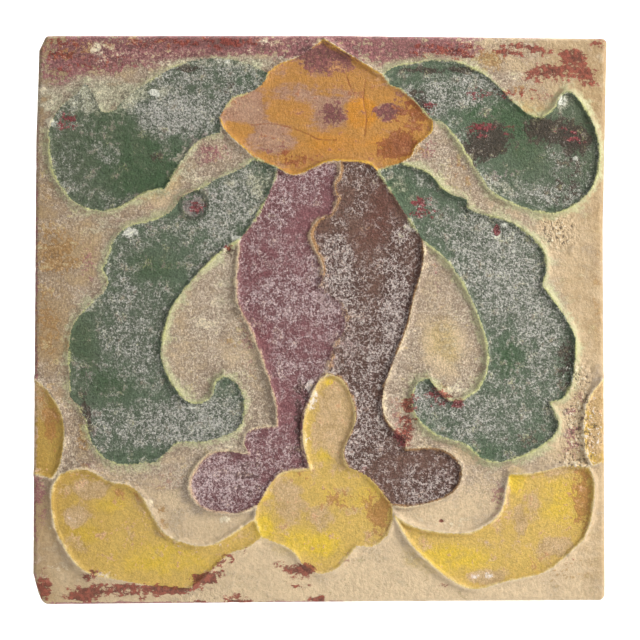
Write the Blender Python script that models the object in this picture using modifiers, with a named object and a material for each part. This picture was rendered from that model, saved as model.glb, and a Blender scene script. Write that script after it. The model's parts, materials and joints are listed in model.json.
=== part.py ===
"""Square wall tile of pressed red clay, its foliage drawn in raised lines between pools of glaze.

Metres, +Z up. The tile is modelled lying on its back with the drawing in the XY plane, and is then stood
up as on a wall: the glazed face looks along -Y, and the flat back lies in the plane Y = 0 with the world
origin at its centre.
"""

import math

import bmesh
import bpy
import numpy as np

MM = 0.001

# The slab
SIDE = 150 * MM
THICKNESS = 20 * MM
EDGE_WEAR = 0.6 * MM
EDGE_WEAR_STEPS = 2
CORNER_ARC = math.radians(18)
CORNER_ROOM = 0.45
EDGE_WEAR_ANGLE = math.radians(40)
FLAT_ANGLE = math.radians(1)

# The raised lines
LINE_HEIGHT = 1.1 * MM
LINE_BASE = 2.5 * MM
LINE_SHOULDER = 1.2 * MM
LINE_SHOULDER_RISE = 0.8
LINE_SINK = 0.6 * MM
LINE_TAPER = 0.9 * MM
LINE_TIP = 1 / 3
LINE_SAG = 0.06 * MM
LINE_UNEVEN = 0.10
LINE_LEVELS = 7
LINE_LEVEL_STEP = 3
WELD = 0.005 * MM

# The drawing is kept in the photograph's pixels, x to the right and y down, read by eye along each line.
# The rim's own width there stands for SIDE, which gives the scale of all the rest.
# Each corner of the rim comes with the radius that wear has given it, as a share of the side.
RIM = [
    ((38, 52), 0.020),
    ((48, 35), 0.020),
    ((330, 35), 0),
    ((607, 38), 0.010),
    ((603, 230), 0),
    ((605, 601), 0.012),
    ((380, 602), 0),
    ((42, 605), 0.012),
    ((37, 593), 0.020),
    ((32, 574), 0.040),
    ((33, 420), 0),
    ((35, 140), 0),
]

LINES = {
    "bloom_top_left": [(267, 73), (277, 65), (300, 56), (323, 39)],
    "bloom_top_right": [(323, 39), (382, 75)],
    "bloom_right": [(382, 75), (389, 84), (401, 90), (432, 120), (432, 131), (415, 147)],
    "bloom_lower_right": [(415, 147), (411, 156), (400, 163)],
    "bloom_foot": [(400, 163), (377, 171)],
    "bloom_bottom_right": [(377, 171), (368, 164), (340, 161)],
    "bloom_bottom_left": [(340, 161), (327, 162), (293, 175), (277, 168)],
    "bloom_lower_left": [(277, 168), (254, 158)],
    "bloom_left": [(254, 158), (224, 129), (219, 118)],
    "bloom_upper_left": [(219, 118), (231, 99), (256, 89), (264, 81), (267, 73)],
    "upper_left_top": [
        (267, 73), (253, 66), (217, 58), (179, 65), (123, 100), (114, 110), (103, 112), (92, 92),
        (85, 83),
    ],
    "upper_left_hook": [(85, 83), (76, 94), (63, 104), (53, 118), (48, 133)],
    "upper_left_belly": [(48, 133), (53, 174), (74, 202), (108, 211), (150, 191), (164, 189)],
    "upper_left_inner": [(164, 189), (197, 142), (220, 133)],
    "upper_left_stem": [(220, 133), (219, 118)],
    "upper_right_top": [(382, 75), (395, 67), (449, 61), (484, 75), (526, 113), (541, 118)],
    "upper_right_hook": [
        (541, 118), (553, 109), (559, 97), (567, 91), (588, 115), (599, 152), (589, 191), (554, 213),
        (498, 197), (487, 188),
    ],
    "upper_right_inner": [(487, 188), (443, 124), (432, 120)],
    "middle_left_top": [
        (254, 158), (244, 167), (215, 180), (204, 187), (181, 197), (173, 209), (163, 216), (120, 232),
        (102, 270),
    ],
    "middle_left_side": [(102, 270), (108, 281), (103, 293), (90, 303), (71, 331), (70, 397)],
    "middle_left_belly": [(70, 397), (80, 409), (93, 445), (105, 458), (122, 464), (157, 462)],
    "middle_left_foot": [
        (157, 462), (176, 444), (207, 441), (237, 429), (244, 414), (243, 396), (235, 382), (223, 376),
    ],
    "middle_left_curl": [
        (223, 376), (215, 382), (212, 394), (201, 402), (187, 401), (162, 361), (167, 320), (177, 299),
        (221, 251), (239, 240),
    ],
    "left_petal_side": [(277, 168), (273, 183), (254, 220), (239, 240)],
    "left_petal_waist": [(239, 240), (237, 300), (256, 343), (276, 408), (276, 426)],
    "left_petal_step": [(276, 426), (249, 431), (244, 441), (248, 454)],
    "left_petal_foot": [
        (248, 454), (222, 451), (207, 455), (189, 481), (192, 497), (204, 509), (238, 513), (257, 505),
    ],
    "right_petal_side": [(377, 171), (422, 240)],
    "right_petal_waist": [
        (422, 240), (423, 259), (412, 303), (407, 325), (382, 396), (385, 418), (396, 433),
    ],
    "right_petal_step": [(396, 433), (404, 439), (405, 449)],
    "right_petal_foot": [
        (405, 449), (437, 448), (452, 455), (461, 469), (459, 483), (447, 496), (410, 506), (392, 505),
    ],
    "wave": [
        (340, 161), (340, 172), (334, 186), (337, 199), (332, 212), (317, 221), (310, 234), (323, 267),
        (320, 286),
    ],
    "wave_worn": [(320, 286), (331, 297), (344, 308), (345, 326), (334, 347), (327, 373)],
    "trefoil_lobe_left": [(327, 373), (317, 383), (303, 420), (303, 443), (309, 468)],
    "trefoil_shoulder_left": [(309, 468), (279, 474), (257, 505)],
    "trefoil_cheek_left": [(257, 505), (254, 519), (261, 537)],
    "trefoil_tip": [(261, 537), (291, 550), (303, 564), (318, 573), (335, 569), (356, 546)],
    "trefoil_cheek_right": [(356, 546), (372, 546), (384, 538), (391, 525), (392, 505)],
    "trefoil_shoulder_right": [(392, 505), (368, 477), (348, 467)],
    "trefoil_lobe_right": [(348, 467), (343, 453), (355, 417), (342, 380), (327, 373)],
    "lower_left_top": [
        (59, 475), (71, 470), (87, 470), (112, 482), (128, 485), (140, 494), (160, 528), (174, 539),
        (208, 545), (254, 519),
    ],
    "lower_left_side": [(59, 475), (52, 488), (55, 527), (76, 564), (92, 575)],
    "lower_left_base": [(92, 575), (165, 588), (188, 590)],
    "lower_left_tail": [(188, 590), (202, 579), (230, 553), (246, 548), (261, 537)],
    "lower_right_base": [(392, 514), (414, 548), (468, 588), (505, 581), (547, 570), (583, 539)],
    "lower_right_side": [(583, 539), (590, 520), (593, 480), (588, 467)],
    "lower_right_top": [(588, 467), (569, 465), (531, 473), (508, 474)],
    "lower_right_inner": [(508, 474), (500, 511), (484, 526), (464, 533), (415, 527), (392, 514)],
    "middle_right_top": [
        (400, 163), (426, 172), (448, 193), (466, 200), (468, 208), (514, 224), (542, 249), (546, 266),
        (542, 285),
    ],
    "middle_right_side": [(542, 285), (572, 331), (575, 350), (569, 389), (561, 399), (550, 403)],
    "middle_right_belly": [
        (550, 403), (558, 424), (552, 437), (517, 458), (496, 462), (480, 458), (467, 446), (452, 440),
    ],
    "middle_right_foot": [(452, 440), (437, 436), (413, 412), (416, 383), (428, 378)],
    "middle_right_curl": [
        (428, 378), (442, 395), (454, 401), (479, 386), (487, 352), (468, 294), (444, 258), (422, 240),
    ],
    "left_sliver": [(37, 381), (46, 389), (63, 420), (60, 463), (52, 478)],
    "left_sliver_foot": [(52, 478), (38, 475)],
    "right_sliver": [(601, 382), (594, 389), (585, 408), (585, 451), (592, 465)],
    "right_sliver_foot": [(592, 465), (601, 462)],
}

# Lines that wear has lowered keep this share of their size
WORN = {"wave": 0.8, "wave_worn": 0.45, "lower_left_base": 0.7, "lower_left_tail": 0.7}


def clear_scene():
    """Remove every object that is there."""
    for obj in list(bpy.data.objects):
        bpy.data.objects.remove(obj, do_unlink=True)


def new_collection(name):
    """A collection linked to the scene."""
    collection = bpy.data.collections.new(name)
    bpy.context.scene.collection.children.link(collection)
    return collection


def glazed_clay():
    """Cream glaze over red clay, seen from a step away."""
    material = bpy.data.materials.new("glazed_clay")
    material.use_nodes = True
    shader = material.node_tree.nodes["Principled BSDF"]
    shader.inputs["Base Color"].default_value = (0.62, 0.47, 0.29, 1)
    shader.inputs["Roughness"].default_value = 0.4
    shader.inputs["Metallic"].default_value = 0.0
    return material


def place(pixels):
    """Points of the drawing as metres on the tile, whose rim is centred on the origin."""
    rim = np.array([corner for corner, _ in RIM], float)
    low, high = rim.min(axis=0), rim.max(axis=0)
    scale = SIDE / (high[0] - low[0])
    return (np.array(pixels, float) - (low + high) / 2) * (scale, -scale)


def rounded_polygon(corners, radii):
    """The polygon with an arc at each corner, which takes at most CORNER_ROOM of the sides beside it."""
    points = []
    for i, corner in enumerate(corners):
        if radii[i] == 0:
            points.append(corner)
            continue
        before, after = corners[i - 1] - corner, corners[(i + 1) % len(corners)] - corner
        room = CORNER_ROOM * min(np.linalg.norm(before), np.linalg.norm(after))
        before, after = before / np.linalg.norm(before), after / np.linalg.norm(after)
        turn = math.pi - math.acos(before @ after)
        radius = min(radii[i], room / math.tan(turn / 2))
        inward = (before + after) / np.linalg.norm(before + after)
        middle = corner + inward * radius / math.cos(turn / 2)
        along = (after - before) / np.linalg.norm(after - before)
        for angle in np.linspace(-turn / 2, turn / 2, math.ceil(turn / CORNER_ARC) + 1):
            points.append(middle + radius * (along * math.sin(angle) - inward * math.cos(angle)))
    return np.array(points)


def smooth_curve(knots, per_span=12):
    """A centripetal Catmull-Rom curve through the knots."""
    p = np.vstack([2 * knots[0] - knots[1], knots, 2 * knots[-1] - knots[-2]])
    t = np.concatenate([[0], np.cumsum(np.sqrt(np.linalg.norm(np.diff(p, axis=0), axis=1)))])
    spans = []
    for i in range(1, len(p) - 2):
        s = np.linspace(t[i], t[i + 1], per_span, endpoint=False)[:, None]

        def blend(a, b, start, end):
            return ((end - s) * a + (s - start) * b) / (end - start)

        a1 = blend(p[i - 1], p[i], t[i - 1], t[i])
        a2 = blend(p[i], p[i + 1], t[i], t[i + 1])
        a3 = blend(p[i + 1], p[i + 2], t[i + 1], t[i + 2])
        b1 = blend(a1, a2, t[i - 1], t[i + 1])
        b2 = blend(a2, a3, t[i], t[i + 2])
        spans.append(blend(b1, b2, t[i], t[i + 1]))
    return np.vstack(spans + [knots[-1:]])


def thin_out(points, sag):
    """Only the points that keep the line within sag of the curve, halving it at the farthest one."""
    if len(points) < 3:
        return points
    chord = points[-1] - points[0]
    normal = np.array([-chord[1], chord[0]]) / np.linalg.norm(chord)
    away = np.abs((points - points[0]) @ normal)
    far = int(away.argmax())
    if away[far] < sag:
        return points[[0, -1]]
    return np.vstack([thin_out(points[: far + 1], sag)[:-1], thin_out(points[far:], sag)])


def make_mesh_object(source, name, collection):
    """The source curve as a closed mesh object, which takes its place."""
    bpy.context.view_layer.update()
    evaluated = source.evaluated_get(bpy.context.evaluated_depsgraph_get())
    mesh = bpy.data.meshes.new_from_object(evaluated)
    mesh.name = name
    bm = bmesh.new()
    bm.from_mesh(mesh)
    bmesh.ops.remove_doubles(bm, verts=bm.verts, dist=WELD)
    bmesh.ops.recalc_face_normals(bm, faces=bm.faces)
    bm.to_mesh(mesh)
    bm.free()
    obj = bpy.data.objects.new(name, mesh)
    obj.matrix_world = source.matrix_world
    collection.objects.link(obj)
    bpy.data.objects.remove(source, do_unlink=True)
    return obj


def join_flat_faces(obj):
    """The triangles of each flat side as one face, so that a bevel runs evenly round it."""
    bm = bmesh.new()
    bm.from_mesh(obj.data)
    bmesh.ops.dissolve_limit(bm, angle_limit=FLAT_ANGLE, verts=bm.verts, edges=bm.edges)
    bm.to_mesh(obj.data)
    bm.free()


def add_poly_curve(name, collection, points, radii, cyclic):
    """A 2D curve object with one straight-sided spline through the points."""
    curve = bpy.data.curves.new(name, "CURVE")
    curve.dimensions = "2D"
    spline = curve.splines.new("POLY")
    spline.points.add(len(points) - 1)
    spline.use_cyclic_u = cyclic
    for knot, (x, y), radius in zip(spline.points, points, radii):
        knot.co = (x, y, 0, 1)
        knot.radius = radius
    obj = bpy.data.objects.new(name, curve)
    collection.objects.link(obj)
    return obj


def add_rim_block(name, collection, height, inset=0.0):
    """The rim's outline, drawn in by the inset, as an upright block of that height on the back's plane."""
    outline = rounded_polygon(place([corner for corner, _ in RIM]), [SIDE * share for _, share in RIM])
    outline *= 1 - 2 * inset / SIDE
    curve = add_poly_curve(name + "_outline", collection, outline, np.ones(len(outline)), cyclic=True)
    curve.data.fill_mode = "BOTH"
    curve.data.extrude = height / 2
    curve.location.z = height / 2
    block = make_mesh_object(curve, name, collection)
    join_flat_faces(block)
    return block


def add_slab(collection):
    """The plain slab, from the back to the sunk ground of the face, with worn arrises."""
    slab = add_rim_block("tile", collection, THICKNESS)
    bevel = slab.modifiers.new("worn edges", "BEVEL")
    bevel.width = EDGE_WEAR
    bevel.segments = EDGE_WEAR_STEPS
    bevel.limit_method = "ANGLE"
    bevel.angle_limit = EDGE_WEAR_ANGLE
    return slab


def add_line_section(collection):
    """The section that all raised lines share: a rounded ridge on a foot sunk in the slab."""
    foot = LINE_BASE / 2 + LINE_SINK * (LINE_BASE - LINE_SHOULDER) / (2 * LINE_HEIGHT)
    half = [(foot, -LINE_SINK), (LINE_BASE / 2, 0), (LINE_SHOULDER / 2, LINE_SHOULDER_RISE * LINE_HEIGHT)]
    profile = half + [(0, LINE_HEIGHT)] + [(-x, y) for x, y in reversed(half)]
    section = add_poly_curve("line_section", collection, profile, np.ones(len(profile)), cyclic=True)
    section.data.fill_mode = "NONE"
    return section


def add_raised_line(name, pixels, size, section, collection):
    """One line swept along its path; its ends run on a little and taper into the slab."""
    path = thin_out(smooth_curve(place(pixels)), LINE_SAG)
    first = path[0] + (path[0] - path[1]) / np.linalg.norm(path[0] - path[1]) * LINE_TAPER
    last = path[-1] + (path[-1] - path[-2]) / np.linalg.norm(path[-1] - path[-2]) * LINE_TAPER
    radii = np.concatenate([[size * LINE_TIP], np.full(len(path), size), [size * LINE_TIP]])
    curve = add_poly_curve(name + "_path", collection, np.vstack([first, path, last]), radii, cyclic=False)
    curve.data.fill_mode = "NONE"
    curve.data.bevel_mode = "OBJECT"
    curve.data.bevel_object = section
    curve.data.use_fill_caps = True
    curve.location.z = THICKNESS
    return make_mesh_object(curve, name, collection)


def add_raised_lines(collection):
    """Every line of the drawing, no two that meet of the same height, as a hand-cut mould gives them."""
    section = add_line_section(collection)
    lines = []
    for index, (name, pixels) in enumerate(LINES.items()):
        level = index * LINE_LEVEL_STEP % LINE_LEVELS / (LINE_LEVELS - 1)
        size = WORN.get(name, 1.0) * (1 - LINE_UNEVEN * level)
        lines.append(add_raised_line(name, pixels, size, section, collection))
    bpy.data.objects.remove(section, do_unlink=True)
    return lines


def add_boolean(obj, name, operation, tool):
    """A Boolean of the object with the tool, which is one object or a whole collection."""
    modifier = obj.modifiers.new(name, "BOOLEAN")
    modifier.operation = operation
    modifier.solver = "MANIFOLD"
    if isinstance(tool, bpy.types.Collection):
        modifier.operand_type = "COLLECTION"
        modifier.collection = tool
    else:
        modifier.object = tool
    return modifier


def build_tile():
    """One pressed slab with its raised lines, stood up with its back in the plane Y = 0."""
    parts = new_collection("raised_line_tile")
    tools = new_collection("tools")
    relief = new_collection("raised_lines")
    tile = add_slab(parts)
    lines = add_raised_lines(relief)
    trim = add_rim_block("rim_trim", tools, THICKNESS + 2 * LINE_HEIGHT, inset=EDGE_WEAR / 2)
    for line in lines:
        add_boolean(line, "trim to the rim", "INTERSECT", trim)
    add_boolean(tile, "raised lines", "UNION", relief)
    tile.data.materials.append(glazed_clay())
    for tool in lines + [trim]:
        tool.hide_render = True
        tool.display_type = "WIRE"
    for obj in lines + [trim, tile]:
        obj.rotation_euler.x = math.radians(90)
        obj.location = (0, -obj.location.z, 0)


clear_scene()
build_tile()
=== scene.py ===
# %% [markdown]
# A square tile of red clay, pressed in a carved mould so that its drawing stands up in thin raised
# lines. Each line is a dam: it kept one coloured glaze from running into the next in the kiln. The
# tile is old, so the glazes are clouded, scratched and in places worn down to the clay.
# The clay solid comes from the CAD frame. This script lays the worn surface over it as one relief
# mesh, and then paints each pool of glaze with a material of its own.

# %% Frame
import json

import bpy
import mathutils
import numpy as np
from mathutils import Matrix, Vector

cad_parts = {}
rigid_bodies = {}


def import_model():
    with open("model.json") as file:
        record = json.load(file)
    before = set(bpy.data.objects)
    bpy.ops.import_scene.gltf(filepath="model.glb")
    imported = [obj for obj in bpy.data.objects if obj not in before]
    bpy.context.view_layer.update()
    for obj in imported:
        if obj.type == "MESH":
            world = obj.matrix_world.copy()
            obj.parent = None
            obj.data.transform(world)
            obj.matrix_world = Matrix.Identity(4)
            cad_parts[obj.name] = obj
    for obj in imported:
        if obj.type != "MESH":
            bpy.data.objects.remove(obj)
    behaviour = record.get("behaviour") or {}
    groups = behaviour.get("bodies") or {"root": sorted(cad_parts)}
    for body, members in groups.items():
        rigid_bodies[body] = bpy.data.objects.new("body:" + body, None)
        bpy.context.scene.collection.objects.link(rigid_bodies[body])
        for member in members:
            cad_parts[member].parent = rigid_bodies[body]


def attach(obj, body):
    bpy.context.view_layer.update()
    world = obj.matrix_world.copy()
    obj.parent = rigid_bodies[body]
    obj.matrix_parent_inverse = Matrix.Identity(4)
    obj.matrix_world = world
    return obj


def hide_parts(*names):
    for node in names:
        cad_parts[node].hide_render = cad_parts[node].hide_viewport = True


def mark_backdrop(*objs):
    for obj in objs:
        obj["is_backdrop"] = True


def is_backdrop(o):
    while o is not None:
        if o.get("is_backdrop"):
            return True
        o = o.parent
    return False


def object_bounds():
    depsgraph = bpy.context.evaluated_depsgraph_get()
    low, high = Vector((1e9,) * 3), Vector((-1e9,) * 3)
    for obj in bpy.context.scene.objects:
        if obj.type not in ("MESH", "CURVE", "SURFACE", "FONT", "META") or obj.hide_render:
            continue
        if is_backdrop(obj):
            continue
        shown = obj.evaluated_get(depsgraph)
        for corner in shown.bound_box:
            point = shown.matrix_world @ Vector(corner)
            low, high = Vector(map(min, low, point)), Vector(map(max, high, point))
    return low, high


for left_over in list(bpy.data.objects):
    bpy.data.objects.remove(left_over, do_unlink=True)

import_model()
cad_low, cad_high = (np.array(corner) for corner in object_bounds())
MM = 0.001  # every length below is in mm, and MM turns it into metres
WIDE, THICK, TALL = (cad_high - cad_low) / MM
print(f"frame: {WIDE:.1f} x {THICK:.1f} x {TALL:.1f} mm")

# %% [markdown]
# The drawing is kept in the photograph's pixels, as the CAD keeps it: knots read along each
# raised line, as x,y pairs with y down. The raised lines start and end where they meet, so that the pools
# between them can be walked round.

# %% Drawing
RIM_LEFT = "42,605 37,593 32,574 33,420 35,140 38,50 45,35"
RIM_RIGHT = "605,601 603,230 607,38"
RIM_BOTTOM = "42,605 380,602 605,601"
RIM_TOP = "45,35 330,35 607,38"

LINES = {
    "bloom_top_left": "267,73 277,65 300,56 323,39",
    "bloom_top_right": "323,39 382,75",
    "bloom_right_upper": "382,75 389,84 401,90 432,120",
    "bloom_right_lower": "432,120 432,131 415,147 411,156 400,163",
    "bloom_foot": "400,163 377,171",
    "bloom_bottom_right": "377,171 368,164 340,161",
    "bloom_bottom_left": "340,161 327,162 293,175 277,168",
    "bloom_lower_left": "277,168 254,158",
    "bloom_left": "254,158 224,129 219,118",
    "bloom_upper_left": "219,118 231,99 256,89 264,81 267,73",
    "upper_left_top": "267,73 253,66 217,58 179,65 123,100 114,110 103,112 92,92 85,83",
    "upper_left_hook": "85,83 76,94 63,104 53,118 48,133",
    "upper_left_belly": "48,133 53,174 74,202 108,211 150,191 164,189",
    "upper_left_inner": "164,189 197,142 220,133",
    "upper_left_stem": "220,133 219,118",
    "upper_right_top": "382,75 395,67 449,61 484,75 526,113 541,118",
    "upper_right_hook": "541,118 553,109 559,97 567,91 588,115 599,152 589,191 554,213 498,197 487,188",
    "upper_right_inner": "487,188 443,124 432,120",
    "middle_left_top": "254,158 244,167 215,180 204,187 181,197 173,209 163,216 120,232 102,270",
    "middle_left_side": "102,270 108,281 103,293 90,303 71,331 70,397",
    "middle_left_belly": "70,397 80,409 93,445 105,458 122,464 157,462",
    "middle_left_foot": "157,462 176,444 207,441 237,429 244,414 243,396 235,382 223,376",
    "middle_left_curl": "223,376 215,382 212,394 201,402 187,401 162,361 167,320 177,299 221,251 239,240",
    "left_petal_side": "277,168 273,183 254,220 239,240",
    "left_petal_waist": "239,240 237,300 256,343 276,408 276,426",
    "left_petal_step": "276,426 249,431 244,441 248,454",
    "left_petal_foot": "248,454 222,451 207,455 189,481 192,497 204,509 238,513 257,505",
    "right_petal_side": "377,171 422,240",
    "right_petal_waist": "422,240 423,259 412,303 407,325 382,396 385,418 396,433",
    "right_petal_step": "396,433 404,439 405,449",
    "right_petal_foot": "405,449 437,448 452,455 461,469 459,483 447,496 410,506 392,505",
    "wave": "340,161 340,172 334,186 337,199 332,212 317,221 310,234 323,267 320,286",
    "wave_worn": "320,286 331,297 344,308 345,326 334,347 327,373",
    "trefoil_lobe_left": "327,373 317,383 303,420 303,443 309,468",
    "trefoil_shoulder_left": "309,468 279,474 257,505",
    "trefoil_cheek_upper": "257,505 254,519",
    "trefoil_cheek_left": "254,519 261,537",
    "trefoil_tip": "261,537 291,550 303,564 318,573 335,569 356,546",
    "trefoil_cheek_right": "356,546 372,546 384,538 391,525 392,505",
    "trefoil_shoulder_right": "392,505 368,477 348,467",
    "trefoil_lobe_right": "348,467 343,453 355,417 342,380 327,373",
    "lower_left_top": "59,475 71,470 87,470 112,482 128,485 140,494 160,528 174,539 208,545 254,519",
    "lower_left_side": "59,475 52,488 55,527 76,564 92,575",
    "lower_left_base": "92,575 165,588 188,590",
    "lower_left_tail": "188,590 202,579 230,553 246,548 261,537",
    "lower_right_base": "392,514 414,548 468,588 505,581 547,570 583,539",
    "lower_right_side": "583,539 590,520 593,480 588,467",
    "lower_right_top": "588,467 569,465 531,473 508,474",
    "lower_right_inner": "508,474 500,511 484,526 464,533 415,527 392,514",
    "middle_right_top": "400,163 426,172 448,193 466,200 468,208 514,224 542,249 546,266 542,285",
    "middle_right_side": "542,285 572,331 575,350 569,389 561,399 550,403",
    "middle_right_belly": "550,403 558,424 552,437 517,458 496,462 480,458 467,446 452,440",
    "middle_right_foot": "452,440 437,436 413,412 416,383 428,378",
    "middle_right_curl": "428,378 442,395 454,401 479,386 487,352 468,294 444,258 422,240",
    "left_sliver": "31,378 46,389 63,420 60,463 52,478",
    "left_sliver_foot": "52,478 31,473",
    "right_sliver": "608,374 594,389 585,408 585,451 592,465",
    "right_sliver_foot": "592,465 609,460",
}

# The share of its height that a worn line keeps; a line that isn't here keeps all of it
WORN = {
    0.3: "upper_left_top",
    0.4: "wave_worn upper_left_hook upper_left_stem bloom_upper_left bloom_foot",
    0.5: "lower_left_base middle_left_side middle_left_belly right_petal_side bloom_top_left "
         "bloom_right_upper",
    0.6: "trefoil_tip trefoil_cheek_right lower_left_tail upper_left_inner upper_right_top middle_left_top "
         "middle_left_foot left_petal_side bloom_right_lower left_petal_step",
    0.7: "trefoil_shoulder_left trefoil_shoulder_right trefoil_cheek_left upper_right_inner "
         "right_petal_step",
    0.8: "wave upper_left_belly",
    1.1: "lower_left_side",
}

# The glaze of each pool, and the lines round it, all in one direction; a minus sign turns a line round
POOLS = {
    "bloom": ("amber", "bloom_top_left bloom_top_right bloom_right_upper bloom_right_lower bloom_foot "
              "bloom_bottom_right bloom_bottom_left bloom_lower_left bloom_left bloom_upper_left"),
    "upper_left": ("green", "upper_left_top upper_left_hook upper_left_belly upper_left_inner "
                   "upper_left_stem bloom_upper_left"),
    "upper_right": ("green", "upper_right_top upper_right_hook upper_right_inner -bloom_right_upper"),
    "middle_left": ("green", "middle_left_top middle_left_side middle_left_belly middle_left_foot "
                    "middle_left_curl -left_petal_side bloom_lower_left"),
    "middle_right": ("green", "middle_right_top middle_right_side middle_right_belly middle_right_foot "
                     "middle_right_curl -right_petal_side -bloom_foot"),
    "left_petal": ("mauve", "-bloom_bottom_left wave wave_worn trefoil_lobe_left trefoil_shoulder_left "
                   "-left_petal_foot -left_petal_step -left_petal_waist -left_petal_side"),
    "right_petal": ("brown", "-bloom_bottom_right right_petal_side right_petal_waist right_petal_step "
                    "right_petal_foot trefoil_shoulder_right trefoil_lobe_right -wave_worn -wave"),
    "trefoil": ("yellow", "trefoil_lobe_left trefoil_shoulder_left trefoil_cheek_upper trefoil_cheek_left "
                "trefoil_tip trefoil_cheek_right trefoil_shoulder_right trefoil_lobe_right"),
    "lower_left": ("yellow", "lower_left_top trefoil_cheek_left -lower_left_tail -lower_left_base "
                   "-lower_left_side"),
    "lower_right": ("yellow", "lower_right_base lower_right_side lower_right_top lower_right_inner"),
    "left_sliver": ("yellow", "left_sliver left_sliver_foot"),
    "right_sliver": ("yellow", "right_sliver right_sliver_foot"),
}

print(f"drawing: {len(LINES)} lines and {len(POOLS)} pools")

# %% [markdown]
# The carver cut each line with one steady sweep, so the knots are joined by smooth curves that pass
# through every one of them. The rim's width in the photograph stands for the tile's width in the frame,
# and that one scale turns all the pixels into millimetres.


# %% Curves
def knots_of(points):
    """The knots that a text of x,y pairs holds, as an array."""
    return np.array([pair.split(",") for pair in points.split()], float)


rim = np.vstack([knots_of(side) for side in (RIM_LEFT, RIM_RIGHT, RIM_BOTTOM, RIM_TOP)])
PIXEL = WIDE / np.ptp(rim[:, 0])
CENTRE = (rim.min(axis=0) + rim.max(axis=0)) / 2


def place(pixels):
    """Points of the drawing as millimetres on the face: (pixels - centre) times the scale, y turned up."""
    return (np.array(pixels, float) - CENTRE) * (PIXEL, -PIXEL)


def smooth_curve(knots, per_span=16):
    """A centripetal Catmull-Rom curve: between knots, blends of blends weighted by root chord length."""
    p = np.vstack([2 * knots[0] - knots[1], knots, 2 * knots[-1] - knots[-2]])
    t = np.concatenate([[0], np.cumsum(np.sqrt(np.linalg.norm(np.diff(p, axis=0), axis=1)))])
    spans = []
    for i in range(1, len(p) - 2):
        s = np.linspace(t[i], t[i + 1], per_span, endpoint=False)[:, None]

        def blend(a, b, start, end):
            return ((end - s) * a + (s - start) * b) / (end - start)

        a1 = blend(p[i - 1], p[i], t[i - 1], t[i])
        a2 = blend(p[i], p[i + 1], t[i], t[i + 1])
        a3 = blend(p[i + 1], p[i + 2], t[i + 1], t[i + 2])
        b1 = blend(a1, a2, t[i - 1], t[i + 1])
        b2 = blend(a2, a3, t[i], t[i + 2])
        spans.append(blend(b1, b2, t[i], t[i + 1]))
    return np.vstack(spans + [knots[-1:]])


curves = {name: smooth_curve(place(knots_of(points))) for name, points in LINES.items()}
length = sum(np.linalg.norm(np.diff(curve, axis=0), axis=1).sum() for curve in curves.values())
print(f"curves: {length:.0f} mm of raised line, {PIXEL:.3f} mm to a pixel")

# %% [markdown]
# Every property of the face is first drawn as a map: a square array with one value for each fifth of
# a millimetre. The mesh reads its height from these maps, and later its colours too. Noise for them is
# made here as well: clay and old glaze are uneven at many sizes at once, so octaves of it are added.

# %% Maps
PITCH = 0.2
REACH = 6.0
MARGIN_CELLS = 20
NOISE_CELLS = 97
NOISE_SHIFT = 1000
columns = int(np.ceil(WIDE / PITCH)) + MARGIN_CELLS
map_x = (np.arange(columns) - (columns - 1) / 2) * PITCH
MAP_X, MAP_Z = np.meshgrid(map_x, map_x)


def read_map(values, x, z):
    """The map's value at any points, bilinear between the four nearest cells."""
    i = np.clip(z / PITCH + (columns - 1) / 2, 0, columns - 1.001)
    j = np.clip(x / PITCH + (columns - 1) / 2, 0, columns - 1.001)
    i0, j0 = i.astype(int), j.astype(int)
    a, b = i - i0, j - j0
    upper = values[i0, j0] * (1 - b) + values[i0, j0 + 1] * b
    lower = values[i0 + 1, j0] * (1 - b) + values[i0 + 1, j0 + 1] * b
    return upper * (1 - a) + lower * a


def noise(x, z, size, seed):
    """Smooth noise from 0 to 1: a random value at each corner of a grid of that size in mm, eased between."""
    table = np.random.default_rng(seed).random((NOISE_CELLS, NOISE_CELLS))
    i, j = z / size + NOISE_SHIFT, x / size + NOISE_SHIFT
    i0, j0 = np.floor(i).astype(int), np.floor(j).astype(int)
    a, b = i - i0, j - j0
    a, b = a * a * (3 - 2 * a), b * b * (3 - 2 * b)
    c = [table[(i0 + di) % NOISE_CELLS, (j0 + dj) % NOISE_CELLS] for di in (0, 1) for dj in (0, 1)]
    return (c[0] * (1 - b) + c[1] * b) * (1 - a) + (c[2] * (1 - b) + c[3] * b) * a


def clouds(x, z, size, seed):
    """Three octaves of noise, each half the size and weight of the last, from 0 to 1."""
    return sum(noise(x, z, size / 2**k, seed + k) / 2**k for k in range(3)) / 1.75


def bell(away, width):
    """1 at no distance and near 0 beyond the width: e to the power of minus (away / width) squared."""
    return np.exp(-((away / width) ** 2))


print(f"maps: {columns} x {columns} cells of {PITCH} mm")

# %% [markdown]
# The distance to the nearest raised line is the most useful map, since the lines' section, the sag of
# the glaze between them and the colour along their crests all follow from it. Two more maps say how worn
# that line is and whether a green pool lies beside it, and one says which cells are in a pool.

# %% Lines and pools
# mm from a line's middle to the end of its thin, pale glaze, by the first part of a name that fits
CREST_WIDTHS = {
    "wave": 0.95, "trefoil_lobe_left": 0.9, "petal": 0.55, "trefoil": 0.5, "lower": 0.5, "bloom": 0.45,
    "": 0.38,
}


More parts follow.
